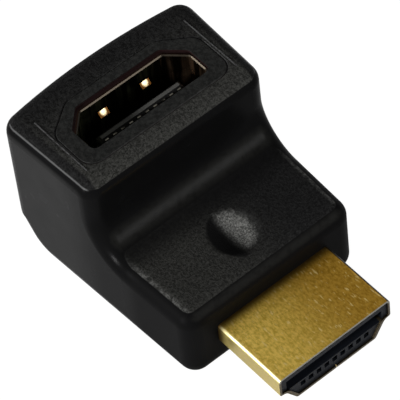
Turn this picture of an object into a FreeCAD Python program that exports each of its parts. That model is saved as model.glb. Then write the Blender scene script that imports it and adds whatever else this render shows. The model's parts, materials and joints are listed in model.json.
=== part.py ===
import FreeCAD, Part

import math
import os
import re

import Sketcher

# Right angle adapter for a flat digital video plug: a male plug points along +X, and a female
# socket opens along +Z. The width lies along Y, and Y = 0 is the plane of symmetry.
# The origin is on the underside, straight below the middle of the socket. Lengths are in mm.

SIZES = {
    # Jacket, the outer moulding
    "body_height": 18.2,
    "back_cover": 3.75,
    "front_cover": 2.15,
    "back_side_cover": 2.65,
    "end_side_cover": 1.45,
    "shelf_cover": 3.2,
    "end_reach": 18.9,
    "inner_corner_radius": 4.0,
    "edge_radius": 1.8,
    "heel_height": 5.2,
    "heel_run": 3.6,
    "heel_foot_radius": 4.2,
    "back_crown": 1.0,
    "jacket_wall": 1.4,
    # Thumb dimple on the shelf
    "dimple_place": 13.5,
    "dimple_radius": 2.7,
    "dimple_depth": 0.95,
    "dimple_lip_radius": 0.5,
    # Face of the inner moulding around the socket
    "collar_front_wall": 1.75,
    "collar_back_wall": 1.75,
    "collar_side_wall": 1.95,
    "collar_shoulder": 1.5,
    "collar_chamfer": 3.5,
    "collar_radius": 1.7,
    "collar_groove": 0.12,
    "witness_offset": 0.25,
    "witness_width": 0.14,
    "witness_rise": 0.06,
    "witness_length": 8.0,
    # Plug
    "plug_width": 13.9,
    "plug_height": 4.45,
    "plug_narrow": 9.9,
    "plug_side": 2.45,
    "plug_step": 0.75,
    "plug_step_drop": 0.12,
    "plug_reach": 8.9,
    "plug_sunk": 7.2,
    "plug_floor_cover": 0.35,
    "plug_corner_radius": 0.45,
    "plug_step_radius": 0.8,
    "plug_sheet": 0.25,
    "plug_seam": 0.08,
    "plug_face_recess": 0.2,
    "slot_width": 12.0,
    "slot_height": 1.45,
    "slot_lift": 0.3,
    "slot_depth": 8.6,
    "slot_lip": 1.2,
    "upper_window_width": 0.45,
    "upper_window_height": 0.35,
    "upper_window_lip": 0.48,
    "lower_window_width": 0.6,
    "lower_window_height": 0.65,
    "lower_window_lip": 0.2,
    "plug_contact_width": 0.3,
    "contact_sheet": 0.15,
    "contact_bulge": 0.25,
    "contact_bump_place": 2.5,
    "contact_bump_run": 1.1,
    "contact_setback": 0.5,
    "contact_play": 0.05,
    "tail_length": 1.6,
    # Contacts of both connectors
    "contact_pitch": 1.0,
    "wide_row_count": 10,
    "narrow_row_count": 9,
    # Socket
    "socket_width": 14.0,
    "socket_depth": 4.55,
    "socket_narrow": 10.2,
    "socket_radius": 0.45,
    "socket_sheet": 0.3,
    "socket_recess": 0.35,
    "socket_reveal": 0.25,
    "socket_back_reveal": 0.6,
    "socket_lead": 0.12,
    "fit_gap": 0.03,
    "socket_base": 3.2,
    "socket_standoff": 0.25,
    "shell_standoff": 0.35,
    "tongue_width": 10.3,
    "tongue_thickness": 1.0,
    "tongue_recess": 2.15,
    "tongue_chamfer": 0.3,
    "socket_contact_width": 0.4,
    "socket_contact_inlay": 0.1,
    "front_contact_setback": 0.1,
    "rear_contact_setback": 0.5,
    "foot_reach": 3.6,
    "foot_relief": 0.3,
    "peg_width": 1.2,
    "peg_place": 6.1,
    "leg_width": 1.6,
    "leg_length": 0.7,
    "leg_play": 0.1,
    "spring_place": 2.6,
    "spring_width": 1.1,
    "spring_slit": 0.3,
    "spring_root": 6.0,
    "spring_bump": 2.25,
    "spring_tip": 1.75,
    "spring_sheet": 0.2,
    "spring_push": 0.45,
    # Circuit board
    "board_thickness": 1.0,
    "board_margin": 1.0,
    "board_back": 4.4,
}

# Places worked out from the sizes, as formulas over their names
PLACES = {
    "collar_front": "socket_depth / 2 + collar_front_wall",
    "collar_back": "socket_depth / 2 + collar_back_wall",
    "core_width": "socket_width + 2 * collar_side_wall",
    "board_width": "core_width - 2 * board_margin",
    "back_reach": "collar_back + back_cover",
    "neck_reach": "collar_front + front_cover",
    "back_width": "core_width + 2 * back_side_cover",
    "end_width": "core_width + 2 * end_side_cover",
    "side_slope": "(back_side_cover - end_side_cover) / (back_reach + end_reach)",
    "plug_axis_height": "jacket_wall + plug_floor_cover + plug_height / 2",
    "shelf_height": "plug_top + shelf_cover",
    "heel_foot": "heel_run - back_reach",
    "core_back": "jacket_wall - back_reach",
    "core_neck": "neck_reach - jacket_wall",
    "core_end": "end_reach - jacket_wall",
    "core_top": "body_height - jacket_wall",
    "core_shelf": "shelf_height - jacket_wall",
    "core_heel_foot": "heel_foot + jacket_wall / 2",
    "core_corner_radius": "inner_corner_radius + jacket_wall",
    "plug_top": "plug_axis_height + plug_height / 2",
    "plug_tip": "end_reach + plug_reach",
    "plug_rear": "end_reach - plug_sunk",
    "plug_face": "plug_tip - plug_face_recess",
    "slot_middle": "plug_axis_height + slot_lift",
    "slot_top": "slot_middle + slot_height / 2",
    "slot_floor": "slot_middle - slot_height / 2",
    "slot_back": "plug_face - slot_depth",
    "upper_window_floor": "slot_top + upper_window_lip",
    "upper_window_top": "upper_window_floor + upper_window_height",
    "lower_window_top": "slot_floor - lower_window_lip",
    "lower_window_floor": "lower_window_top - lower_window_height",
    "board_top": "slot_middle + board_thickness / 2",
    "board_floor": "slot_middle - board_thickness / 2",
    "socket_rim": "body_height - socket_recess",
    "socket_slope": "(socket_width - socket_narrow) / 2",
    "block_floor": "board_top + socket_standoff",
    "block_top": "board_top + socket_base",
    "shell_floor": "board_top + shell_standoff",
    "tongue_front": "slot_lift + tongue_thickness / 2",
    "tongue_rear": "slot_lift - tongue_thickness / 2",
    "tongue_tip": "body_height - tongue_recess",
    "leg_middle": "socket_depth / 2 - socket_radius - leg_width / 2",
}

# How far a cutting shape runs past the face that it starts from
SPARE = 1

# How close the middle of an edge lies to the place where it is looked for
CLOSE = 0.02

doc = FreeCAD.newDocument("adapter")
sheet = doc.addObject("Spreadsheet::Sheet", "Sizes")
for line, (name, size) in enumerate(SIZES.items(), 1):
    sheet.set(f"A{line}", name)
    sheet.set(f"B{line}", str(size))
    sheet.setAlias(f"B{line}", name)
doc.recompute()


def formula(text):
    """Turns plain names of sizes and places into a formula over the sheet's cells."""
    def swap(match):
        word = match[0]
        if word in PLACES:
            return f"({formula(PLACES[word])})"
        return f"Sizes.{word}" if word in SIZES else word
    return re.sub(r"[a-z_]+", swap, text)


def value(text):
    """The number that a formula gives now."""
    return float(sheet.evalExpression(formula(text)))


def bind(thing, path, text):
    thing.setExpression(path, formula(text))


# Sketches

def attach(body, plane, name, offset="0"):
    """A sketch on one of the body's own origin planes, moved along that plane's normal."""
    sketch = body.newObject("Sketcher::SketchObject", name)
    origin_plane = next(f for f in body.Origin.OriginFeatures if f.Role == plane)
    sketch.AttachmentSupport = [(origin_plane, "")]
    sketch.MapMode = "FlatFace"
    if offset != "0":
        bind(sketch, "AttachmentOffset.Base.z", offset)
    return sketch


def pin(sketch, kind, geometry, point, text):
    """Holds one coordinate of a sketch point at a formula."""
    index = sketch.addConstraint(Sketcher.Constraint(kind, -1, 1, geometry, point, value(text)))
    bind(sketch, f"Constraints[{index}]", text)


def vector(pair):
    return FreeCAD.Vector(pair[0], pair[1], 0)


def outline(sketch, corners):
    """A closed outline, listed anticlockwise: each corner is (x, y) or (x, y, radius), as formulas."""
    spots = [vector([value(text) for text in corner[:2]]) for corner in corners]
    count = len(corners)
    joints = []
    for i, corner in enumerate(corners):
        radius = value(corner[2]) if len(corner) > 2 else 0
        back = (spots[i - 1] - spots[i]).normalize()
        ahead = (spots[(i + 1) % count] - spots[i]).normalize()
        half = back.getAngle(ahead) / 2
        reach = radius / math.tan(half)
        joints.append((spots[i] + back * reach, spots[i] + ahead * reach))
    lines = [sketch.addGeometry(Part.LineSegment(joints[i][1], joints[(i + 1) % count][0]))
             for i in range(count)]
    for i, corner in enumerate(corners):
        before, after = lines[i - 1], lines[i]
        if len(corner) < 3:
            sketch.addConstraint(Sketcher.Constraint("Coincident", before, 2, after, 1))
            pin(sketch, "DistanceX", after, 1, corner[0])
            pin(sketch, "DistanceY", after, 1, corner[1])
            continue
        round_corner(sketch, corner, spots[i], joints[i], before, after)


def round_corner(sketch, corner, spot, ends, before, after):
    """An arc between two lines, tangent to both, with the sharp corner kept as a point."""
    start, end = ends
    radius = value(corner[2])
    turn = (spot - start).cross(end - spot).z
    middle = (start + end) / 2
    inward = (middle - spot).normalize()
    centre = spot + inward * math.hypot(radius, (start - spot).Length)
    first, last = (start, end) if turn > 0 else (end, start)
    angles = [math.atan2(p.y - centre.y, p.x - centre.x) for p in (first, last)]
    circle = Part.Circle(centre, FreeCAD.Vector(0, 0, 1), radius)
    arc = sketch.addGeometry(Part.ArcOfCircle(circle, *angles))
    near, far = (1, 2) if turn > 0 else (2, 1)
    sketch.addConstraint(Sketcher.Constraint("Tangent", before, 2, arc, near))
    sketch.addConstraint(Sketcher.Constraint("Tangent", after, 1, arc, far))
    index = sketch.addConstraint(Sketcher.Constraint("Radius", arc, radius))
    bind(sketch, f"Constraints[{index}]", corner[2])
    point = sketch.addGeometry(Part.Point(spot), True)
    sketch.addConstraint(Sketcher.Constraint("PointOnObject", point, 1, before))
    sketch.addConstraint(Sketcher.Constraint("PointOnObject", point, 1, after))
    pin(sketch, "DistanceX", point, 1, corner[0])
    pin(sketch, "DistanceY", point, 1, corner[1])


def rectangle(low_x, low_y, high_x, high_y):
    return [(low_x, low_y), (high_x, low_y), (high_x, high_y), (low_x, high_y)]


def strip(path, thickness):
    """The outline of a bent strip: its lower side, point by point, and the same line raised."""
    raised = [(x, f"{z} + {thickness}") for x, z in path]
    return path + raised[::-1]


# Features of a body

def new_body(label):
    body = doc.addObject("PartDesign::Body", label)
    body.Label = label
    return body


def extrude(body, kind, sketch, length, both_ways=False, forward=True):
    """A pad or a pocket of a sketch. Forward is along the normal of the sketch's plane."""
    feature = body.newObject(f"PartDesign::{kind}", f"{sketch.Name}_{kind}")
    feature.Profile = sketch
    bind(feature, "Length", length)
    if both_ways:
        feature.SideType = "Symmetric"
    feature.Reversed = forward if kind == "Pocket" else not forward
    doc.recompute()
    return feature


def pad(body, plane, name, corners, length, offset="0", both_ways=False):
    sketch = attach(body, plane, name, offset)
    outline(sketch, corners)
    return extrude(body, "Pad", sketch, length, both_ways)


def pocket(body, plane, name, corners, length, offset="0", both_ways=False):
    """A pocket that must take something away."""
    before = body.Shape.Volume
    sketch = attach(body, plane, name, offset)
    outline(sketch, corners)
    feature = extrude(body, "Pocket", sketch, length, both_ways)
    if body.Shape.Volume >= before:
        raise ValueError(f"{name} cuts nothing")
    return feature


def row(body, feature, count, name):
    """Copies a feature along Y at the contact pitch, in a row centred on the plane of symmetry."""
    pattern = body.newObject("PartDesign::LinearPattern", name)
    pattern.Originals = [feature]
    y_axis = next(f for f in body.Origin.OriginFeatures if f.Role == "Y_Axis")
    pattern.Direction = (y_axis, [""])
    pattern.Mode = "Spacing"
    bind(pattern, "Offset", "contact_pitch")
    bind(pattern, "Occurrences", count)
    body.Tip = pattern
    doc.recompute()
    return pattern


def mirror_across_width(body, features, name):
    """Repeats features on the other side of the plane of symmetry."""
    mirrored = body.newObject("PartDesign::Mirrored", name)
    mirrored.Originals = features
    plane = next(f for f in body.Origin.OriginFeatures if f.Role == "XZ_Plane")
    mirrored.MirrorPlane = (plane, [""])
    body.Tip = mirrored
    doc.recompute()
    return mirrored


def dress(body, kind, name, keep, text):
    """A fillet or a chamfer on the edges of the body that a test keeps."""
    base = body.Tip
    names = [f"Edge{i}" for i, edge in enumerate(base.Shape.Edges, 1) if keep(edge)]
    if not names:
        raise ValueError(f"{name} finds no edge")
    feature = body.newObject(f"PartDesign::{kind}", name)
    feature.Base = (base, names)
    bind(feature, "Radius" if kind == "Fillet" else "Size", text)
    doc.recompute()
    return feature


def middle_of(edge):
    return edge.valueAt((edge.FirstParameter + edge.LastParameter) / 2)


def is_at(edge, x, y, z):
    """Whether the middle of an edge lies at a place, given as formulas."""
    place = FreeCAD.Vector(value(x), value(y), value(z))
    return middle_of(edge).distanceToPoint(place) < CLOSE


def is_level(edge, z):
    """Whether the middle of an edge lies at a height, given as a formula."""
    return abs(middle_of(edge).z - value(z)) < CLOSE


def row_start(count):
    """The first place of a row of contacts, as a formula."""
    return f"-({count} - 1) * contact_pitch / 2"


# Outlines that more than one piece follows

def core_outline():
    """The L of the inner moulding, seen from the side."""
    return [
        ("core_heel_foot", "jacket_wall"),
        ("core_end", "jacket_wall"),
        ("core_end", "core_shelf"),
        ("core_neck", "core_shelf", "core_corner_radius"),
        ("core_neck", "core_top"),
        ("core_back", "core_top"),
        ("core_back", "heel_height"),
    ]


def collar_outline():
    """The smooth face around the socket, seen from above: chamfered corners at the back."""
    return [
        ("-collar_back", "-core_width / 2 + collar_chamfer", "collar_radius"),
        ("-collar_shoulder", "-core_width / 2", "collar_radius"),
        ("collar_front", "-core_width / 2", "collar_radius"),
        ("collar_front", "core_width / 2", "collar_radius"),
        ("-collar_shoulder", "core_width / 2", "collar_radius"),
        ("-collar_back", "core_width / 2 - collar_chamfer", "collar_radius"),
    ]


def socket_outline(grow="0", back="0"):
    """The keyed outline of the socket, seen from above: wide at +X, with 45 degree corners at -X.

    All of it can grow, and the corners at the back can be moved further back as well."""
    turn = f"({grow}) * tan(22.5)"
    wide = f"socket_width / 2 + ({grow})"
    narrow = f"socket_narrow / 2 + {turn}"
    front = f"socket_depth / 2 + ({grow})"
    shoulder = f"-(socket_depth / 2 - socket_slope) - {turn}"
    radius = f"socket_radius + ({grow})"
    return [
        (f"-({front}) - ({back})", f"-({narrow})", radius),
        (f"{shoulder} - ({back})", f"-({wide})", radius),
        (front, f"-({wide})", radius),
        (front, wide, radius),
        (f"{shoulder} - ({back})", wide, radius),
        (f"-({front}) - ({back})", narrow, radius),
    ]


def plug_outline(inset="0"):
    """The keyed outline of the plug, seen from its tip: wide at the top, stepped in below."""
    side = f"plug_width / 2 - ({inset})"
    step = f"plug_width / 2 - plug_step - ({inset})"
    narrow = f"plug_narrow / 2 - ({inset})"
    top = f"plug_top - ({inset})"
    floor = f"plug_top - plug_height + ({inset})"
    shoulder = f"plug_top - plug_side + ({inset}) / 2"
    ledge = f"plug_top - plug_side - plug_step_drop + ({inset})"
    outer = f"plug_corner_radius - ({inset})"
    hollow = f"plug_step_radius + ({inset})"
    shoulder_radius = f"(plug_corner_radius - ({inset})) / 2"
    return [
        (f"-({narrow})", floor, outer),
        (narrow, floor, outer),
        (step, ledge, hollow),
        (side, shoulder, shoulder_radius),
        (side, top, outer),
        (f"-({side})", top, outer),
        (f"-({side})", shoulder, shoulder_radius),
        (f"-({step})", ledge, hollow),
    ]


# Jacket: the black outer moulding, one piece

def make_jacket():
    body = new_body("jacket")
    pad(body, "XZ_Plane", "JacketSide", [
        ("heel_foot", "0", "heel_foot_radius"),
        ("end_reach", "0"),
        ("end_reach", "shelf_height"),
        ("neck_reach", "shelf_height", "inner_corner_radius"),
        ("neck_reach", "body_height"),
        (f"-back_reach - {SPARE}", "body_height"),
        (f"-back_reach - {SPARE}", f"heel_height + {SPARE} * heel_height / heel_run"),
    ], f"back_width + {SPARE}", both_ways=True)
    crown_back(body)
    taper_sides(body)
    dress(body, "Fillet", "HeelRound",
          lambda e: is_at(e, "-back_reach", "0", "heel_height"), "edge_radius")
    round_outer_edges(body)
    sink_dimple(body)
    pocket(body, "XZ_Plane", "CoreRoom", core_outline(), "core_width", both_ways=True)
    pocket(body, "XY_Plane", "CollarHole", collar_outline(), "2 * jacket_wall", "core_top")
    pocket(body, "YZ_Plane", "PlugHole", plug_outline(), "2 * jacket_wall", "core_end")
    dress(body, "Chamfer", "CollarGroove",
          lambda e: is_level(e, "body_height")
          and abs(middle_of(e).y) < value("core_width / 2") + CLOSE
          and -value("collar_back") - CLOSE < middle_of(e).x < value("collar_front") + CLOSE,
          "collar_groove")
    witness_line(body)
    return body


def crown_back(body):
    """Cuts the back to a wide arc, highest at the plane of symmetry."""
    sketch = attach(body, "XY_Plane", "BackCrown")
    half = "(back_width / 2 + 2)"
    radius = "((back_width / 2)^2 + back_crown^2) / (2 * back_crown)"
    far = "-(back_reach + 5)"
    r = value(radius)
    centre = FreeCAD.Vector(r - value("back_reach"), 0, 0)
    rise = math.asin(value(half) / r)
    arc = sketch.addGeometry(Part.ArcOfCircle(
        Part.Circle(centre, FreeCAD.Vector(0, 0, 1), r), math.pi - rise, math.pi + rise))
    tip_x = centre.x - r * math.cos(rise)
    corners = [(tip_x, -value(half)), (value(far), -value(half)), (value(far), value(half)),
               (tip_x, value(half))]
    lines = [sketch.addGeometry(Part.LineSegment(vector(corners[i]), vector(corners[i + 1])))
             for i in range(3)]
    sketch.addConstraint(Sketcher.Constraint("Coincident", arc, 2, lines[0], 1))
    sketch.addConstraint(Sketcher.Constraint("Coincident", lines[0], 2, lines[1], 1))
    sketch.addConstraint(Sketcher.Constraint("Coincident", lines[1], 2, lines[2], 1))
    sketch.addConstraint(Sketcher.Constraint("Coincident", lines[2], 2, arc, 1))
    index = sketch.addConstraint(Sketcher.Constraint("Radius", arc, r))
    bind(sketch, f"Constraints[{index}]", radius)
    pin(sketch, "DistanceX", arc, 3, f"{radius} - back_reach")
    pin(sketch, "DistanceY", arc, 3, "0")
    pin(sketch, "DistanceY", lines[0], 1, f"-{half}")
    pin(sketch, "DistanceX", lines[1], 1, far)
    pin(sketch, "DistanceY", lines[1], 1, f"-{half}")
    pin(sketch, "DistanceX", lines[1], 2, far)
    pin(sketch, "DistanceY", lines[1], 2, half)
    pin(sketch, "DistanceY", lines[2], 2, half)
    return extrude(body, "Pocket", sketch, "2 * body_height + 4", both_ways=True)


def taper_sides(body):
    """Cuts both sides to planes that draw together from the back to the plug's end."""
    beyond = f"back_width / 2 + 2 * {SPARE}"
    cut = pocket(body, "XY_Plane", "SideTaper", [
        (f"-back_reach - {SPARE}", f"back_width / 2 + {SPARE} * side_slope"),
        (f"end_reach + {SPARE}", f"end_width / 2 - {SPARE} * side_slope"),
        (f"end_reach + {SPARE}", beyond),
        (f"-back_reach - {SPARE}", beyond),
    ], "3 * body_height", both_ways=True)
    mirror_across_width(body, [cut], "OtherSideTaper")


def round_outer_edges(body):
    """One round for the edges of both sides and for the straight edges between them."""
    narrowest = value("end_width / 2") - CLOSE
    across = [("end_reach", "0"), ("end_reach", "shelf_height"),
              ("neck_reach", "body_height"), ("-back_reach", "body_height")]
    dress(body, "Fillet", "EdgeRound",
          lambda e: abs(middle_of(e).y) > narrowest
          or any(is_at(e, x, "0", z) for x, z in across), "edge_radius")


def sink_dimple(body):
    """A shallow round thumb dimple in the shelf: part of a ball, with a rolled lip around it."""
    sketch = attach(body, "XZ_Plane", "Dimple")
    bind(sketch, "AttachmentOffset.Base.x", "dimple_place")
    ball = "((dimple_radius^2 + dimple_depth^2) / (2 * dimple_depth))"
    ball_height = f"shelf_height - dimple_depth + {ball}"
    lip_height = "shelf_height - dimple_lip_radius"
    r, q = value(ball), value("dimple_lip_radius")
    centre = FreeCAD.Vector(0, value(ball_height), 0)
    drop = centre.y - value(lip_height)
    lip_centre = FreeCAD.Vector(math.sqrt((r + q)**2 - drop**2), value(lip_height), 0)
    slope = math.atan2(lip_centre.y - centre.y, lip_centre.x)
    up = FreeCAD.Vector(0, 0, 1)
    bowl = sketch.addGeometry(Part.ArcOfCircle(Part.Circle(centre, up, r), -math.pi / 2, slope))
    lip = sketch.addGeometry(Part.ArcOfCircle(
        Part.Circle(lip_centre, up, q), math.pi / 2, math.pi + slope))
    roof = value("shelf_height") + SPARE
    corners = [(lip_centre.x, lip_centre.y + q), (lip_centre.x, roof), (0, roof), (0, centre.y - r)]
    wall, ceiling, axis = [
        sketch.addGeometry(Part.LineSegment(vector(corners[i]), vector(corners[i + 1])))
        for i in range(3)]
    for rule in (("Tangent", bowl, 2, lip, 2), ("Coincident", lip, 1, wall, 1),
                 ("Coincident", wall, 2, ceiling, 1), ("Coincident", ceiling, 2, axis, 1),
                 ("Coincident", axis, 2, bowl, 1), ("Vertical", lip, 3, lip, 1),
                 ("Vertical", wall), ("Horizontal", ceiling),
                 ("PointOnObject", bowl, 1, -2), ("PointOnObject", ceiling, 2, -2)):
        sketch.addConstraint(Sketcher.Constraint(*rule))
    for arc, radius in ((bowl, ball), (lip, "dimple_lip_radius")):
        index = sketch.addConstraint(Sketcher.Constraint("Radius", arc, value(radius)))
        bind(sketch, f"Constraints[{index}]", radius)
    pin(sketch, "DistanceX", bowl, 3, "0")
    pin(sketch, "DistanceY", bowl, 3, ball_height)
    pin(sketch, "DistanceY", lip, 3, lip_height)
    pin(sketch, "DistanceY", ceiling, 1, f"shelf_height + {SPARE}")
    groove = body.newObject("PartDesign::Groove", "DimpleCut")
    groove.Profile = sketch
    groove.ReferenceAxis = (sketch, ["V_Axis"])
    groove.Angle = 360
    doc.recompute()


def witness_line(body):
    """A hair line beside each end of the collar, where the mould's insert meets the mould."""
    line = pad(body, "XY_Plane", "WitnessLine", rectangle(
        "-witness_length / 2", "core_width / 2 + witness_offset",
        "witness_length / 2", "core_width / 2 + witness_offset + witness_width",
    ), "2 * witness_rise", "body_height - witness_rise")
    return mirror_across_width(body, [line], "OtherWitnessLine")


# Core: the inner moulding, cast around the board and both connectors

def make_core():
    body = new_body("core")
    pad(body, "XZ_Plane", "CoreSide", core_outline(), "core_width", both_ways=True)
    pad(body, "XY_Plane", "Collar", collar_outline(), "jacket_wall", "core_top")
    dress(body, "Chamfer", "CollarEdge", lambda e: is_level(e, "body_height"), "collar_groove")
    pocket(body, "XZ_Plane", "BoardRoom", rectangle(
        "-board_back", "board_floor", "plug_rear", "board_top"), "board_width", both_ways=True)
    pocket(body, "XY_Plane", "SocketRoom", socket_outline("socket_sheet"),
           "socket_rim - board_top", "board_top")
    pocket(body, "XY_Plane", "SocketMouth",
           socket_outline("socket_reveal", "socket_back_reveal - socket_reveal"),
           "2 * socket_recess", "socket_rim")
    pocket(body, "YZ_Plane", "PlugRoom", plug_outline(), "2 * plug_sunk", "plug_rear")
    row_width = "(wide_row_count - 1) * contact_pitch + 2 * socket_contact_width"
    pocket(body, "XZ_Plane", "TailRoom", rectangle(
        "plug_rear - tail_length - foot_relief", "lower_window_floor",
        "plug_rear", "upper_window_top"), row_width, both_ways=True)
    pocket(body, "XZ_Plane", "FootRoom", rectangle(
        "-foot_reach - foot_relief", "board_top", "foot_reach + foot_relief",
        "board_top + contact_sheet + contact_play"), row_width, both_ways=True)
    leg = pocket(body, "XY_Plane", "LegRoom", rectangle(
        "leg_middle - leg_width / 2", "socket_width / 2",
        "leg_middle + leg_width / 2", "socket_width / 2 + socket_sheet"),
        "board_thickness + leg_length", "board_floor - leg_length")
    mirror_across_width(body, [leg], "OtherLegRoom")
    return body


# Circuit board: joins the plug's contacts to the socket's

def make_board():
    body = new_body("circuit_board")
    pad(body, "XY_Plane", "BoardPlate", rectangle(
        "-board_back", "-board_width / 2", "plug_rear", "board_width / 2"),
        "board_thickness", "board_floor")
    hole = pocket(body, "XY_Plane", "LegHole", rectangle(
        "leg_middle - leg_width / 2 - leg_play", "socket_width / 2 - leg_play",
        "leg_middle + leg_width / 2 + leg_play", "socket_width / 2 + socket_sheet + leg_play"),
        "3 * board_thickness", "board_floor - board_thickness")
    mirror_across_width(body, [hole], "OtherLegHole")
    return body


# Plug

def make_plug_shell():
    """A folded sheet metal tube with its seam along the middle of the narrow side."""
    body = new_body("plug_shell")
    pad(body, "YZ_Plane", "PlugTube", plug_outline(), "plug_tip - plug_rear", "plug_rear")
    pocket(body, "YZ_Plane", "PlugBore", plug_outline("plug_sheet"), "2 * plug_tip", "plug_rear")
    pocket(body, "XY_Plane", "PlugSeam", rectangle(
        "plug_rear - 1", "-plug_seam / 2", "plug_tip + 1", "plug_seam / 2"),
        "2 * plug_sheet", "plug_top - plug_height - plug_sheet / 2")
    return body


def make_plug_insulator():
    """The plastic block in the plug, with the slot for the socket's tongue and contact cells."""
    body = new_body("plug_insulator")
    pad(body, "YZ_Plane", "PlugBlock", plug_outline("plug_sheet"), "plug_face - plug_rear",
        "plug_rear")
    pocket(body, "YZ_Plane", "TongueSlot", rectangle(
        "-slot_width / 2", "slot_floor", "slot_width / 2", "slot_top"),
        "2 * slot_depth", "slot_back")
    for level, count in (("upper", "wide_row_count"), ("lower", "narrow_row_count")):
        low, high = f"{level}_window_floor", f"{level}_window_top"
        width = f"{level}_window_width"
        first = row_start(count)
        cell = pocket(body, "YZ_Plane", f"{level.capitalize()}Cell", rectangle(
            f"{first} - {width} / 2", low, f"{first} + {width} / 2", high),
            "2 * plug_tip", "plug_rear - 1")
        row(body, cell, count, f"{level.capitalize()}Cells")
        bottom, top = ("slot_middle", low) if level == "upper" else (high, "slot_middle")
        throat = pocket(body, "YZ_Plane", f"{level.capitalize()}Throat", rectangle(
            f"{first} - {width} / 2", bottom, f"{first} + {width} / 2", top),
            "slot_depth - slot_lip", "slot_back")
        row(body, throat, count, f"{level.capitalize()}Throats")
    return body


def plug_contact_path(level):
    """The underside of a plug contact, from its tail on the board to its tip in the cell."""
    bump = "plug_face - contact_bump_place"
    if level == "upper":
        tail = "board_top"
        beam = "upper_window_floor + contact_play"
        crest = "slot_top - contact_bulge"
    else:
        tail = "board_floor - contact_sheet"
        beam = "lower_window_floor + contact_play"
        crest = "slot_floor + contact_bulge - contact_sheet"
    return [
        ("plug_rear - tail_length", tail),
        ("plug_rear - contact_play - tail_length / 2", tail),
        ("plug_rear - contact_play", beam),
        (f"{bump} - contact_bump_run", beam),
        (bump, crest),
        (f"{bump} + contact_bump_run", beam),
        ("plug_face - contact_setback", beam),
    ]


# Socket

def make_socket_shell():
    """A sheet metal tube with four spring tongues and two legs that go through the board."""
    body = new_body("socket_shell")
    pad(body, "XY_Plane", "SocketTube", socket_outline("socket_sheet"),
        "socket_rim - shell_floor", "shell_floor")
    pocket(body, "XY_Plane", "SocketBore", socket_outline(), "2 * body_height", "shell_floor - 1")
    dress(body, "Chamfer", "SocketLead",
          lambda e: is_level(e, "socket_rim") and in_the_bore(middle_of(e)), "socket_lead")
    leg = pad(body, "XY_Plane", "ShellLeg", rectangle(
        "leg_middle - leg_width / 2", "socket_width / 2",
        "leg_middle + leg_width / 2", "socket_width / 2 + socket_sheet"),
        "shell_floor - board_floor + leg_length + socket_sheet", "board_floor - leg_length")
    mirror_across_width(body, [leg], "OtherShellLeg")
    for side, name in (("-1", "Back"), ("1", "Front")):
        spring(body, side, name)
    return body


def in_the_bore(point):
    """Whether a point lies on or inside the keyed outline of the socket, seen from above."""
    half_depth = value("socket_depth") / 2 + CLOSE
    half_width = value("socket_width") / 2 + CLOSE
    corner = value("socket_narrow") / 2 + half_depth
    return (abs(point.x) < half_depth and abs(point.y) < half_width
            and abs(point.y) - point.x < corner)


def spring(body, side, name):
    """Two spring tongues in one wall, cut free on three sides and bent inwards near the rim."""
    wall = f"{side} * (socket_depth / 2)"
    outside = f"{side} * (socket_depth / 2 + socket_sheet)"
    beyond = f"{side} * (socket_depth / 2 + 2 * socket_sheet)"
    inside = f"{side} * (socket_depth / 2 - socket_sheet)"
    root = "socket_rim - spring_root"
    width = "spring_width + 2 * spring_slit"
    sketch = attach(body, "XZ_Plane", f"{name}SpringWindow", "-spring_place")
    ends = (inside, beyond) if side == "1" else (beyond, inside)
    outline(sketch, rectangle(ends[0], root, ends[1], "socket_rim - spring_tip + spring_slit"))
    window = extrude(body, "Pocket", sketch, width, both_ways=True)
    skin = f"{side} * (socket_depth / 2 + spring_sheet)"
    bent = f"{side} * (socket_depth / 2 - spring_push)"
    bent_outside = f"{side} * (socket_depth / 2 - spring_push + spring_sheet)"
    points = [
        (skin, f"{root} - spring_slit"),
        (skin, root),
        (bent_outside, "socket_rim - spring_bump"),
        (skin, "socket_rim - spring_tip"),
        (wall, "socket_rim - spring_tip"),
        (bent, "socket_rim - spring_bump"),
        (wall, root),
        (wall, f"{root} - spring_slit"),
    ]
    blade_sketch = attach(body, "XZ_Plane", f"{name}Spring", "-spring_place")
    outline(blade_sketch, points if side == "-1" else points[::-1])
    blade = extrude(body, "Pad", blade_sketch, "spring_width", both_ways=True)
    mirror_across_width(body, [window, blade], f"Other{name}Springs")


def make_socket_insulator():
    """The plastic base that fills the foot of the socket, and the tongue that carries contacts."""
    body = new_body("socket_insulator")
    pad(body, "XY_Plane", "SocketBlock", socket_outline("-fit_gap"), "block_top - block_floor",
        "block_floor")
    pad(body, "XY_Plane", "Tongue", rectangle(
        "tongue_rear", "-tongue_width / 2", "tongue_front", "tongue_width / 2"),
        "tongue_tip - block_floor", "block_floor")
    dress(body, "Chamfer", "TongueTip", lambda e: is_level(e, "tongue_tip"), "tongue_chamfer")
    peg = pad(body, "XY_Plane", "Peg", rectangle(
        "-peg_width / 2", "peg_place - peg_width / 2", "peg_width / 2", "peg_place + peg_width / 2"),
        "2 * socket_standoff", "board_top")
    mirror_across_width(body, [peg], "OtherPeg")
    play = "(socket_contact_width / 2 + contact_play)"
    for name, count, setback, low, high in (
        ("Front", "wide_row_count", "front_contact_setback", "tongue_front - socket_contact_inlay",
         "tongue_front - socket_contact_inlay + contact_sheet + contact_play"),
        ("Rear", "narrow_row_count", "rear_contact_setback",
         "tongue_rear + socket_contact_inlay - contact_sheet - contact_play",
         "tongue_rear + socket_contact_inlay"),
    ):
        first = row_start(count)
        cell = pocket(body, "XY_Plane", f"{name}Groove", rectangle(
            low, f"{first} - {play}", high, f"{first} + {play}"),
            f"tongue_tip - {setback} - board_top", "board_top")
        row(body, cell, count, f"{name}Grooves")
    return body


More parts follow.
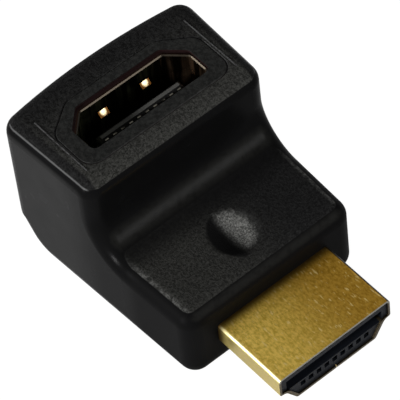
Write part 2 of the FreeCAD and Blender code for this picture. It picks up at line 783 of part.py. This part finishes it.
def socket_contact_outline(side):
    """One socket contact from the side: a blade along the tongue and a foot on the board."""
    if side == "front":
        inner = "tongue_front - socket_contact_inlay"
        outer = f"{inner} + contact_sheet"
        toe = "foot_reach"
    else:
        inner = "tongue_rear + socket_contact_inlay"
        outer = f"{inner} - contact_sheet"
        toe = "-foot_reach"
    top = f"tongue_tip - {side}_contact_setback"
    corners = [
        (inner, "board_top"),
        (toe, "board_top"),
        (toe, "board_top + contact_sheet"),
        (outer, "board_top + contact_sheet"),
        (outer, top),
        (inner, top),
    ]
    return corners if side == "front" else corners[::-1]


# Contacts: one profile a row, each contact an extrusion of it at its own place in the row

def make_contacts(prefix, corners, count, width):
    """A row of contacts across the width, alike and evenly spaced."""
    profile = doc.addObject("Sketcher::SketchObject", f"{prefix}_profile")
    profile.Placement = FreeCAD.Placement(
        FreeCAD.Vector(0, 0, 0), FreeCAD.Rotation(FreeCAD.Vector(1, 0, 0), 90))
    outline(profile, corners)
    made = []
    for i in range(round(value(count))):
        contact = doc.addObject("Part::Extrusion", f"{prefix}_{i + 1:02d}")
        contact.Base = profile
        contact.DirMode = "Custom"
        contact.Dir = FreeCAD.Vector(0, 1, 0)
        contact.Symmetric = True
        contact.Solid = True
        bind(contact, "LengthFwd", width)
        bind(contact, "Placement.Base.y", f"{row_start(count)} + {i} * contact_pitch")
        made.append(contact)
    doc.recompute()
    return made


pieces = [
    make_jacket(),
    make_core(),
    make_board(),
    make_plug_shell(),
    make_plug_insulator(),
    make_socket_shell(),
    make_socket_insulator(),
]
for level, count in (("upper", "wide_row_count"), ("lower", "narrow_row_count")):
    corners = strip(plug_contact_path(level), "contact_sheet")
    pieces += make_contacts(f"plug_contact_{level}", corners, count, "plug_contact_width")
for side, count in (("front", "wide_row_count"), ("rear", "narrow_row_count")):
    corners = socket_contact_outline(side)
    pieces += make_contacts(f"socket_contact_{side}", corners, count, "socket_contact_width")

doc.recompute()
for thing in doc.Objects:
    if "Invalid" in thing.State or "Error" in thing.State:
        raise ValueError(f"{thing.Name} failed: {thing.State}")
os.makedirs("parts", exist_ok=True)
for piece in pieces:
    shape = piece.Shape
    if shape.isNull() or not shape.isValid() or len(shape.Solids) != 1:
        raise ValueError(f"{piece.Label} is not one valid solid")
    shape.exportStep(f"parts/{piece.Label}.step")
    print(piece.Label, round(shape.Volume, 3))
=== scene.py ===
import json
import math

import bpy
from mathutils import Matrix, Vector


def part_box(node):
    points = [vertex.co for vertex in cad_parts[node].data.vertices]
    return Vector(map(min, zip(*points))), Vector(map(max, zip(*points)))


# Right angle video adapter: the CAD nodes keep their shapes and get their finishes here.
# The plug points along +X and the socket opens along +Z. The scene is in metres, and the
# places in this script are in millimetres.

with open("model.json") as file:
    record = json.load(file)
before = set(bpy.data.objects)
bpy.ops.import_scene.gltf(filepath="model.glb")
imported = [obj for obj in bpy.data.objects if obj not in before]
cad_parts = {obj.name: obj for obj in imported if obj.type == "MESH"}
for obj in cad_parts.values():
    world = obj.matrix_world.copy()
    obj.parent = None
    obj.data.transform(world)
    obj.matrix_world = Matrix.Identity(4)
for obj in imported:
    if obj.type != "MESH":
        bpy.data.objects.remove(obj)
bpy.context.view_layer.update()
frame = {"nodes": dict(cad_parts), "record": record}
MM = 0.001
PER_MM = 1000.0

# Camera, with the target and its distance in millimetres
CAMERA_AZIMUTH = 55.698
CAMERA_ELEVATION = 52.017
CAMERA_ROLL = -7.33
CAMERA_DISTANCE = 335.39
CAMERA_PIXELS_PER_MM = 10.321
CAMERA_TARGET = (7.217, 0.867, 7.713)
IMAGE_PIXELS = 400
SENSOR_WIDTH = 36.0

# Places on the part: the first three are read from the frame, the others are the design's own
TOP_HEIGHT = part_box("jacket")[1].z * PER_MM
END_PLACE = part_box("jacket")[1].x * PER_MM
PLUG_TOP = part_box("plug_shell")[1].z * PER_MM
SHELF_HEIGHT = 9.4
DIMPLE_PLACE = 13.5
DIMPLE_REACH = 3.2
SPRING_PLACE = 2.6
SPRING_HEIGHT = 15.98

# Linear grey levels of the jacket: the dark and the pale of each grain, then single tones
SMOOTH_TONES = (0.0030, 0.0042)
# Partly painted light on the tall arm's sides, partly haze where fingers hold it, and a painted
# sheen on the rounds that face up
HELD_AND_LIT_TONES = (0.010, 0.017)
SHEEN_TONES = (0.006, 0.009)
# Painted light: the shelf's grain paler toward -Y, its side rounds pale as a highlight, and the
# top's grain paler toward +X
NEAR_SHELF_TONES = (0.012, 0.036)
FAR_SHELF_TONES = (0.006, 0.018)
SHELF_EDGE_TONES = (0.024, 0.088)
BACK_TOP_TONES = (0.004, 0.016)
FRONT_TOP_TONES = (0.013, 0.050)
# Painted light on the dimple's far half, and painted shadow on its near half
LIT_HALF_TONES = (0.048, 0.165)
DIMPLE_SHADE = 0.005
# Painted highlights: on the hair lines' tops and along the end of the grain
RIDGE_HIGHLIGHT_TONE = 0.085
HIGHLIGHT_LINE_TONE = 0.075

# Tints that a grey level is multiplied by
PLAIN = (1.0, 1.0, 1.0)
COOL = (1.0, 1.0, 1.03)
WARM = (1.0, 1.0, 0.92)
PALE_WARM = (1.0, 1.0, 0.95)
CORE_TINT = (1.0, 1.02, 0.96)
# MOUTH_RED tints the painted shade down in the socket's mouth
MOUTH_RED = (1.9, 0.9, 0.9)
NAVY = (0.80, 0.95, 1.30)

# Colours of painted shade on the plating
PLATING_INNER_SHADE = (0.070, 0.055, 0.032, 1)
PLATING_SHADED = (0.014, 0.011, 0.006, 1)
JUNCTION_SHADE = (0.060, 0.035, 0.008, 1)

# Lamps stand this far from the camera's target, in metres
LAMP_DISTANCE = 0.7


def grey(level, tint=PLAIN):
    return (level * tint[0], level * tint[1], level * tint[2], 1.0)


# Node building

class Tree:
    """A short way to write a material's or the world's nodes."""

    def __init__(self, owner):
        owner.use_nodes = True
        self.tree = owner.node_tree
        self.tree.nodes.clear()

    def node(self, kind, settings=None, **inputs):
        made = self.tree.nodes.new(kind)
        for key, content in (settings or {}).items():
            setattr(made, key, content)
        for key, content in inputs.items():
            self.feed(made.inputs[key.replace("_", " ")], content)
        return made

    def feed(self, socket, content):
        if isinstance(content, bpy.types.NodeSocket):
            self.tree.links.new(content, socket)
        else:
            socket.default_value = content

    def finish(self, kind, shader):
        """The output node, with the shader as its surface."""
        out = self.node(kind)
        self.tree.links.new(shader.outputs[0], out.inputs["Surface"])

    def math(self, operation, *values):
        made = self.node("ShaderNodeMath", {"operation": operation})
        for socket, content in zip(made.inputs, values):
            self.feed(socket, content)
        return made.outputs[0]

    def add(self, a, b):
        return self.math("ADD", a, b)

    def subtract(self, a, b):
        return self.math("SUBTRACT", a, b)

    def product(self, first, *others):
        result = first
        for factor in others:
            result = self.math("MULTIPLY", result, factor)
        return result

    def rest(self, factor):
        """What a factor leaves of 1."""
        return self.subtract(1.0, factor)

    def smooth_step(self, content, low, high):
        made = self.node("ShaderNodeMapRange", {"interpolation_type": "SMOOTHSTEP"})
        for key, number in (("Value", content), ("From Min", low), ("From Max", high)):
            self.feed(made.inputs[key], number)
        return made.outputs[0]

    def mix(self, factor, a, b):
        """A colour between two."""
        made = self.node("ShaderNodeMix", {"data_type": "RGBA"})
        self.feed(made.inputs[0], factor)
        self.feed(made.inputs[6], a)
        self.feed(made.inputs[7], b)
        return made.outputs[2]

    def tones(self, factor, levels, tint=PLAIN):
        """A grey between a dark and a pale level."""
        dark, pale = levels
        return self.mix(factor, grey(dark, tint), grey(pale, tint))

    def blend(self, factor, a, b):
        """A number between two."""
        made = self.node("ShaderNodeMix", {"data_type": "FLOAT"})
        self.feed(made.inputs[0], factor)
        self.feed(made.inputs[2], a)
        self.feed(made.inputs[3], b)
        return made.outputs[0]

    def mix_shaders(self, factor, a, b):
        made = self.node("ShaderNodeMixShader", Fac=factor)
        self.tree.links.new(a.outputs[0], made.inputs[1])
        self.tree.links.new(b.outputs[0], made.inputs[2])
        return made

    def axes(self, vector):
        split = self.node("ShaderNodeSeparateXYZ", Vector=vector)
        return split.outputs["X"], split.outputs["Y"], split.outputs["Z"]

    def vector_math(self, operation, vector, other):
        made = self.node("ShaderNodeVectorMath", {"operation": operation})
        self.feed(made.inputs[0], vector)
        made.inputs[1].default_value = other
        return made

    def stretch(self, vector, x, y, z):
        return self.vector_math("MULTIPLY", vector, (x, y, z)).outputs[0]

    def distance(self, vector, point):
        return self.vector_math("DISTANCE", vector, point).outputs["Value"]

    def oval(self, place, centre, reach):
        """Seen from above, 0 at the centre of an oval and 1 on its outline."""
        squeezed = self.stretch(place, 1 / reach[0], 1 / reach[1], 0.0)
        return self.distance(squeezed, (centre[0] / reach[0], centre[1] / reach[1], 0.0))

    def noise(self, vector, per_mm, detail=2.0, roughness=0.5):
        made = self.node("ShaderNodeTexNoise", Vector=vector, Scale=per_mm, Detail=detail,
                         Roughness=roughness)
        return made.outputs["Fac"]

    def shown_or_mirrored(self, share):
        """1 to the camera, and this share of it to rays that come by way of metal or glass."""
        path = self.node("ShaderNodeLightPath")
        mirrored = self.math("MAXIMUM", path.outputs["Is Glossy Ray"],
                             path.outputs["Is Transmission Ray"])
        return path.outputs["Is Camera Ray"], self.product(mirrored, share)


class Finish(Tree):
    """A material's nodes, with the place on the part in millimetres and the way it faces."""

    def __init__(self, name):
        self.material = bpy.data.materials.new(name)
        super().__init__(self.material)
        scaled = self.node("ShaderNodeVectorMath", {"operation": "SCALE"}, Scale=PER_MM)
        self.feed(scaled.inputs[0], self.node("ShaderNodeTexCoord").outputs["Object"])
        self.place = scaled.outputs[0]
        self.x, self.y, self.z = self.axes(self.place)
        normal = self.node("ShaderNodeNewGeometry").outputs["Normal"]
        self.facing_x, self.facing_y, self.facing_z = self.axes(normal)

    def bump(self, height, millimetres, normal=None):
        made = self.node("ShaderNodeBump", Strength=1.0, Distance=millimetres * MM, Height=height)
        if normal is not None:
            self.feed(made.inputs["Normal"], normal)
        return made.outputs[0]

    def surface(self, **inputs):
        self.finish("ShaderNodeOutputMaterial", self.node("ShaderNodeBsdfPrincipled", **inputs))
        return self.material


# Finishes

def dimple_masks(t):
    """The dimple, its far half painted pale as its lit side, and its near half painted dark as
    the shadow of its rim.
    """
    middle = (DIMPLE_PLACE, 0.0, SHELF_HEIGHT)
    inside = t.math("LESS_THAN", t.distance(t.place, middle), DIMPLE_REACH)
    far_half = t.smooth_step(t.y, -1.0, 0.2)
    patch_centre = (DIMPLE_PLACE - 0.3, 0.0)
    uneven = t.product(t.noise(t.place, 1.5), 0.2)
    to_patch = t.add(t.oval(t.place, patch_centre, (2.9, 2.25)), uneven)
    hollow_centre = (DIMPLE_PLACE + 0.15, -0.0735)
    to_hollow = t.oval(t.place, hollow_centre, (3.3, 2.45))
    painted_light = t.product(t.smooth_step(to_patch, 1.18, 0.74), inside, far_half)
    dark = t.product(t.smooth_step(to_hollow, 1.04, 0.88), inside, t.rest(far_half))
    return inside, painted_light, dark


def grained_colour(t, grain, patchy, on_top, leaning, painted_lit_half, shaded):
    """The jacket's grain: paler toward -Y on the shelf, and toward +X on the tall arm's top, both
    painted light.
    """
    sharp = t.smooth_step(grain, 0.36, 0.66)
    shelf = t.mix(t.smooth_step(t.y, -5.0, 6.0), t.tones(sharp, NEAR_SHELF_TONES, WARM),
                  t.tones(sharp, FAR_SHELF_TONES))
    top = t.mix(t.smooth_step(t.x, -7.0, 4.0), t.tones(sharp, BACK_TOP_TONES),
                t.tones(sharp, FRONT_TOP_TONES, WARM))
    # Painted light on the dimple's far half, and painted shadow on its near half
    painted_light = t.tones(t.smooth_step(grain, 0.40, 0.64), LIT_HALF_TONES, PALE_WARM)
    with_lit_half = t.mix(painted_lit_half, t.mix(on_top, shelf, top), painted_light)
    with_dimple = t.mix(shaded, with_lit_half, grey(DIMPLE_SHADE))
    # Painted highlight on the shelf's rounds that lean toward Y, and painted shade on the top's
    shelf_edge = t.mix(patchy, shelf, t.tones(sharp, SHELF_EDGE_TONES, PALE_WARM))
    edge = t.mix(on_top, shelf_edge, t.tones(sharp, BACK_TOP_TONES))
    # The mould's hair lines beside the collar stand proud, and their top is painted pale as a
    # highlight
    ridge_highlight = t.smooth_step(t.z, TOP_HEIGHT - 0.045, TOP_HEIGHT - 0.02)
    return t.mix(t.product(ridge_highlight, t.blend(patchy, 0.15, 1.0)),
                 t.mix(leaning, with_dimple, edge), grey(RIDGE_HIGHLIGHT_TONE))


def smooth_colour(t, tone, patchy, sideways):
    """The jacket's smooth sides, paler on the tall arm's sides, partly haze where fingers hold it
    and partly painted light, with a painted sheen on the rounds that face up.
    """
    both_ways = t.product(t.facing_x, t.facing_z)
    below_top = t.smooth_step(t.z, SHELF_HEIGHT + 3.5, SHELF_HEIGHT + 2.0)
    painted_sheen = t.product(t.smooth_step(both_ways, 0.38, 0.50), below_top)
    held_and_lit = t.product(t.smooth_step(sideways, 0.90, 0.985), t.smooth_step(t.x, 7.0, 1.0))
    with_sheen = t.mix(painted_sheen, t.tones(tone, SMOOTH_TONES, COOL), t.tones(patchy, SHEEN_TONES, WARM))
    return t.mix(held_and_lit, with_sheen, t.tones(tone, HELD_AND_LIT_TONES))


def jacket_plastic():
    """Black plastic: spark-eroded grain on what faces up, smooth and glossier everywhere else."""
    t = Finish("jacket_plastic")
    sideways = t.math("ABSOLUTE", t.facing_y)
    on_top = t.smooth_step(t.z, SHELF_HEIGHT + 3, SHELF_HEIGHT + 4)
    in_dimple, painted_lit_half, shaded = dimple_masks(t)
    # The grain reaches further round the tall arm's edges, most of all at the front, and it fades
    # where the shelf runs into the tall arm, which also paints that corner darker as shade
    forward = t.product(t.math("MAXIMUM", t.facing_x, 0.0), on_top, 0.15)
    limit = t.subtract(t.blend(on_top, 0.89, 0.69), forward)
    over = t.subtract(t.add(t.facing_z, in_dimple), limit)
    corner_shade = t.product(t.smooth_step(t.x, 11.6, 8.6), t.rest(on_top), 0.85)
    grained = t.product(t.smooth_step(over, -0.012, 0.012), t.rest(corner_shade))
    grain = t.blend(0.5, t.noise(t.place, 3.6, 2.0, 0.6), t.noise(t.place, 7.0, 2.0, 0.6))
    patchy = t.smooth_step(t.noise(t.place, 1.6), 0.30, 0.55)
    leaning = t.product(t.smooth_step(sideways, 0.15, 0.36), t.rest(in_dimple))
    marked = grained_colour(t, grain, patchy, on_top, leaning, painted_lit_half, shaded)
    tone = t.noise(t.place, 0.35)
    plain = smooth_colour(t, tone, patchy, sideways)
    # A painted highlight: a pale line along the end of the grain on the sides
    at_line = t.smooth_step(t.math("ABSOLUTE", t.add(over, 0.02)), 0.055, 0.02)
    painted_light = t.product(at_line, t.smooth_step(sideways, 0.55, 0.68), 0.9)
    colour = t.mix(painted_light, t.mix(grained, plain, marked), grey(HIGHLIGHT_LINE_TONE))
    # The plug's end is less glossy than the rest of the smooth sides
    at_end = t.product(t.smooth_step(t.x, 9.0, 12.0), 0.22)
    smooth_rough = t.add(t.blend(tone, 0.22, 0.30), at_end)
    grain_rough = t.blend(t.smooth_step(grain, 0.36, 0.66), 0.52, 0.42)
    haze = t.product(t.noise(t.place, 14.0), 0.03)
    edge_step = t.bump(grained, 0.06)
    return t.surface(Base_Color=colour, Roughness=t.blend(grained, smooth_rough, grain_rough),
                     Specular_IOR_Level=0.014,
                     Normal=t.bump(t.blend(grained, haze, grain), 0.14, edge_step))


def core_plastic():
    """Black plastic with a fine even grain, and painted shade with a red cast down in the
    socket's mouth.
    """
    t = Finish("core_plastic")
    grain = t.blend(0.4, t.noise(t.place, 2.6, 3.0, 0.6), t.noise(t.place, 8.0))
    sharp = t.smooth_step(grain, 0.38, 0.64)
    # Painted shade, tinted red, down in the socket's mouth
    in_mouth = t.smooth_step(t.z, TOP_HEIGHT - 0.12, TOP_HEIGHT - 0.20)
    face = t.tones(sharp, (0.006, 0.020), CORE_TINT)
    return t.surface(Base_Color=t.mix(in_mouth, face, grey(0.006, MOUTH_RED)),
                     Roughness=t.blend(sharp, 0.52, 0.42), Specular_IOR_Level=0.06,
                     Normal=t.bump(grain, 0.06))


def plug_gold():
    """Gold-plated sheet: mottled, with short pale dashes along X, and steel at the cut edge."""
    t = Finish("plug_gold")
    blot = t.noise(t.place, 1.9, 3.0, 0.65)
    speck = t.noise(t.stretch(t.place, 2.0, 4.2, 4.2), 1.0, 3.0, 0.65)
    worn = t.smooth_step(t.blend(0.55, blot, speck), 0.37, 0.63)
    # Olive toward -Y and brown toward +Y, with no sharp line between them: a painted reflection
    # that is brighter toward -Y
    dim_toward_plus_y = t.smooth_step(t.add(t.y, t.product(blot, 6.0)), -3.5, 8.0)
    olive = t.mix(worn, (0.52, 0.355, 0.048, 1), (0.95, 0.67, 0.145, 1))
    brown = t.mix(worn, (0.28, 0.150, 0.013, 1), (0.50, 0.285, 0.038, 1))
    dash = t.noise(t.stretch(t.place, 1.1, 4.4, 4.4), 1.0, 2.0, 0.6)
    flecked = t.product(t.smooth_step(dash, 0.61, 0.70), 0.65)
    plate = t.mix(flecked, t.mix(dim_toward_plus_y, olive, brown), (0.85, 0.66, 0.26, 1))
    # The round toward -Y is painted pale as a highlight, the flat side toward -Y is given a
    # duller colour, and painted shade darkens the plating next to the jacket
    to_minus_y = t.product(t.facing_y, -1.0)
    highlit_edge_and_side = t.mix(t.smooth_step(to_minus_y, 0.92, 0.98), (0.95, 0.83, 0.42, 1),
                      (0.50, 0.40, 0.13, 1))
    sided = t.mix(t.smooth_step(to_minus_y, 0.32, 0.52), plate, highlit_edge_and_side)
    at_junction = t.smooth_step(t.x, END_PLACE + 1.4, END_PLACE)
    outside = t.mix(at_junction, sided, JUNCTION_SHADE)
    # Painted shade: the far edge is darkened and the inside is made duller
    far = t.subtract(t.smooth_step(t.facing_y, 0.15, 0.45), t.smooth_step(t.facing_y, 0.93, 0.98))
    low = t.smooth_step(t.z, PLUG_TOP - 0.35, PLUG_TOP - 0.60)
    inward = t.smooth_step(t.product(t.facing_y, t.y), -0.5, -2.0)
    inner_floor = t.product(low, t.smooth_step(t.facing_z, 0.4, 0.6))
    inner_shaded = t.mix(t.math("MAXIMUM", inward, inner_floor), outside, PLATING_INNER_SHADE)
    plated = t.mix(far, inner_shaded, PLATING_SHADED)
    # The plating has gone from the sheet's cut edge
    cut = t.smooth_step(t.facing_x, 0.6, 0.9)
    steel = t.mix(speck, (0.17, 0.165, 0.14, 1), (0.30, 0.28, 0.24, 1))
    # The lower part of the cut edge gets the inside's painted shade too
    colour = t.mix(t.product(low, cut), t.mix(cut, plated, steel), PLATING_INNER_SHADE)
    by_jacket = t.smooth_step(t.x, END_PLACE + 2.6, END_PLACE + 0.7)
    rough = t.add(t.blend(worn, 0.42, 0.30), t.product(by_jacket, 0.16))
    return t.surface(Base_Color=colour, Metallic=1.0, Roughness=rough,
                     Normal=t.bump(speck, 0.005))


def contact_gold(name, dark, light):
    """Contacts: plating of uneven brightness from one contact to the next."""
    t = Finish(name)
    row = t.smooth_step(t.noise(t.place, 0.8), 0.40, 0.60)
    fine = t.noise(t.place, 9.0)
    return t.surface(Base_Color=t.mix(row, dark, light), Metallic=1.0,
                     Roughness=t.blend(fine, 0.24, 0.34), Normal=t.bump(fine, 0.002))


def socket_gold():
    """The socket's shell: painted shade with streaks of painted reflection inside, its lead
    painted paler on the slope that faces -Y, and a patch on each spring painted bright as a
    highlight where a plug rubs it.
    """
    t = Finish("socket_gold")
    level = t.smooth_step(t.facing_z, 0.80, 0.92)
    tilted = t.subtract(t.smooth_step(t.facing_z, 0.15, 0.35), level)
    cloud = t.noise(t.place, 1.2, 3.0, 0.6)
    # Painted shade on the walls with vertical streaks of painted reflection, olive toward -Y and
    # brown toward +Y, and dark red on the faces that look straight up
    streak = t.noise(t.stretch(t.place, 1.1, 1.1, 0.12), 1.0)
    olive = t.mix(t.smooth_step(streak, 0.42, 0.60), (0.025, 0.022, 0.014, 1),
                  (0.22, 0.24, 0.13, 1))
    brown = t.mix(t.smooth_step(streak, 0.44, 0.62), (0.030, 0.020, 0.012, 1),
                  (0.50, 0.32, 0.20, 1))
    walls = t.mix(t.smooth_step(t.y, 3.0, 5.5), olive, brown)
    shade_and_streaks = t.mix(level, walls, (0.020, 0.010, 0.007, 1))
    # Painted light: the lead is palest on the slope that faces -Y
    to_minus_y = t.smooth_step(t.product(t.facing_y, -1.0), 0.10, 0.30)
    dark_lead = t.mix(cloud, (0.006, 0.005, 0.004, 1), (0.024, 0.020, 0.015, 1))
    pale_lead = t.mix(cloud, (0.020, 0.016, 0.012, 1), (0.060, 0.050, 0.038, 1))
    lead = t.mix(to_minus_y, dark_lead, pale_lead)
    # Each spring has a round patch painted bright as a highlight, where a plug also rubs it, and
    # painted shade around it
    along = t.subtract(t.math("ABSOLUTE", t.y), SPRING_PLACE)
    up = t.subtract(t.z, SPRING_HEIGHT)
    away = t.math("SQRT", t.add(t.product(along, along), t.product(up, up)))
    spring = t.mix(t.smooth_step(away, 0.43, 0.16), (0.022, 0.009, 0.002, 1),
                   (0.25, 0.205, 0.12, 1))
    on_rim = t.smooth_step(t.z, TOP_HEIGHT - 1.3, TOP_HEIGHT - 1.0)
    colour = t.mix(tilted, shade_and_streaks, t.mix(on_rim, spring, lead))
    return t.surface(Base_Color=colour, Metallic=1.0, Roughness=t.blend(cloud, 0.22, 0.36),
                     Normal=t.bump(cloud, 0.006))


def block_plastic(name, tones, top, rough):
    """The plastic of a connector's inside, with a colour of its own on what faces straight up."""
    t = Finish(name)
    fine = t.noise(t.place, 14.0)
    level = t.smooth_step(t.facing_z, 0.85, 0.95)
    body = t.mix(t.noise(t.place, 2.5, 3.0), *tones)
    return t.surface(Base_Color=t.mix(level, body, top),
                     Roughness=t.blend(fine, rough - 0.06, rough + 0.06),
                     Specular_IOR_Level=0.08, Normal=t.bump(fine, 0.01))


def board_laminate():
    """Green solder mask over a woven laminate."""
    t = Finish("board_laminate")
    weave = t.node("ShaderNodeTexWave", Vector=t.place, Scale=1.6, Distortion=0.4)
    cross = t.node("ShaderNodeTexWave", {"bands_direction": "Y"}, Vector=t.place, Scale=1.6,
                   Distortion=0.4)
    cloth = t.product(weave.outputs["Fac"], cross.outputs["Fac"])
    return t.surface(Base_Color=t.mix(cloth, (0.010, 0.075, 0.030, 1), (0.020, 0.120, 0.050, 1)),
                     Roughness=t.blend(cloth, 0.32, 0.42), Normal=t.bump(cloth, 0.01))


def dress_the_part():
    """Gives every CAD node the finish of its slot, and the socket's metal its own finishes."""
    block_tones = (grey(0.005, NAVY), grey(0.010, NAVY))
    tongue_tones = (grey(0.010), grey(0.018))
    by_slot = {
        "jacket_plastic": jacket_plastic(),
        "core_plastic": core_plastic(),
        "gold_plated_sheet": plug_gold(),
        "contact_gold": contact_gold("contact_gold", (0.50, 0.36, 0.14, 1),
                                     (0.80, 0.60, 0.26, 1)),
        "plug_block_plastic": block_plastic("plug_block_plastic", block_tones,
                                            grey(0.008, NAVY), 0.42),
        "tongue_plastic": block_plastic("tongue_plastic", tongue_tones,
                                        grey(0.12, PALE_WARM), 0.45),
        "board_laminate": board_laminate(),
    }
    by_name = {
        "socket_contact": contact_gold("socket_contact", (0.015, 0.014, 0.011, 1),
                                       (0.17, 0.16, 0.13, 1)),
        "socket_shell": socket_gold(),
    }
    slots = {part["node"]: part["material_slot"] for part in frame["record"]["subparts"]}
    for name, thing in frame["nodes"].items():
        own = [finish for start, finish in by_name.items() if name.startswith(start)]
        for slot in thing.material_slots:
            slot.material = own[0] if own else by_slot[slots[name]]


# Floor, light and camera

def make_floor():
    """A plain white sheet under the part, out to where no view sees its edge."""
    half = 1.5
    drop = 0.02 * MM
    corners = [(-half, -half, -drop), (half, -half, -drop), (half, half, -drop),
               (-half, half, -drop)]
    mesh = bpy.data.meshes.new("floor")
    mesh.from_pydata(corners, [], [(0, 1, 2, 3)])
    floor = bpy.data.objects.new("floor", mesh)
    bpy.context.scene.collection.objects.link(floor)
    material = bpy.data.materials.new("floor_white")
    t = Tree(material)
    shown, mirrored = t.shown_or_mirrored(0.5)
    paper = t.node("ShaderNodeBsdfDiffuse", Color=grey(0.9))
    glow = t.node("ShaderNodeEmission", Color=grey(1.0), Strength=1.10)
    lit = t.mix_shaders(t.product(t.math("MAXIMUM", shown, mirrored), 0.88), paper, glow)
    # From below the sheet is clear, so that the underside can be looked at
    from_below = t.node("ShaderNodeNewGeometry").outputs["Backfacing"]
    sheet = t.mix_shaders(from_below, lit, t.node("ShaderNodeBsdfTransparent"))
    t.finish("ShaderNodeOutputMaterial", sheet)
    mesh.materials.append(material)


def make_world():
    """An even pale surround, darker overhead where metal and gloss mirror it."""
    world = bpy.data.worlds.new("studio")
    bpy.context.scene.world = world
    t = Tree(world)
    shown, mirrored = t.shown_or_mirrored(1.0)
    height = t.axes(t.node("ShaderNodeTexCoord").outputs["Generated"])[2]
    in_mirrors = t.blend(t.smooth_step(height, 0.45, 0.80), 1.0, 0.42)
    strength = t.blend(shown, t.blend(mirrored, 0.10, in_mirrors), 1.0)
    around = t.node("ShaderNodeBackground", Color=grey(1.0), Strength=strength)
    t.finish("ShaderNodeOutputWorld", around)


def softbox(name, direction, size, power):
    """A square lamp that looks at the part from one direction, its size in metres."""
    lamp = bpy.data.lights.new(name, "AREA")
    lamp.shape = "SQUARE"
    lamp.size = size
    lamp.energy = power
    thing = bpy.data.objects.new(name, lamp)
    towards = Vector(direction).normalized()
    thing.location = Vector(CAMERA_TARGET) * MM + towards * LAMP_DISTANCE
    thing.rotation_euler = towards.to_track_quat("Z", "Y").to_euler()
    bpy.context.scene.collection.objects.link(thing)


def make_camera():
    """The photograph's view: azimuth 0 looks along +Y and 90 along -X."""
    azimuth, elevation, roll = (math.radians(angle) for angle in (
        CAMERA_AZIMUTH, CAMERA_ELEVATION, CAMERA_ROLL))
    back = Vector((math.sin(azimuth) * math.cos(elevation),
                   -math.cos(azimuth) * math.cos(elevation), math.sin(elevation)))
    right = (-back).cross(Vector((0, 0, 1))).normalized()
    up = right.cross(-back)
    turned_right = right * math.cos(roll) + up * math.sin(roll)
    turned_up = up * math.cos(roll) - right * math.sin(roll)
    data = bpy.data.cameras.new("camera")
    data.sensor_width = SENSOR_WIDTH
    data.lens = CAMERA_PIXELS_PER_MM * CAMERA_DISTANCE * SENSOR_WIDTH / IMAGE_PIXELS
    data.clip_start = 0.01
    data.clip_end = 10.0
    camera = bpy.data.objects.new("camera", data)
    turn = Matrix((turned_right, turned_up, back)).transposed().to_4x4()
    place = (Vector(CAMERA_TARGET) + back * CAMERA_DISTANCE) * MM
    camera.matrix_world = Matrix.Translation(place) @ turn
    bpy.context.scene.collection.objects.link(camera)
    bpy.context.scene.camera = camera


dress_the_part()
make_floor()
make_world()
softbox("key", (0.10, -0.95, 0.29), size=0.07, power=5.5)
softbox("strip", (-0.50, -0.81, 0.28), size=0.12, power=1.8)
softbox("rear", (0.80, 0.35, 0.50), size=0.22, power=2.8)
make_camera()

scene = bpy.context.scene
scene.view_settings.view_transform = "Standard"
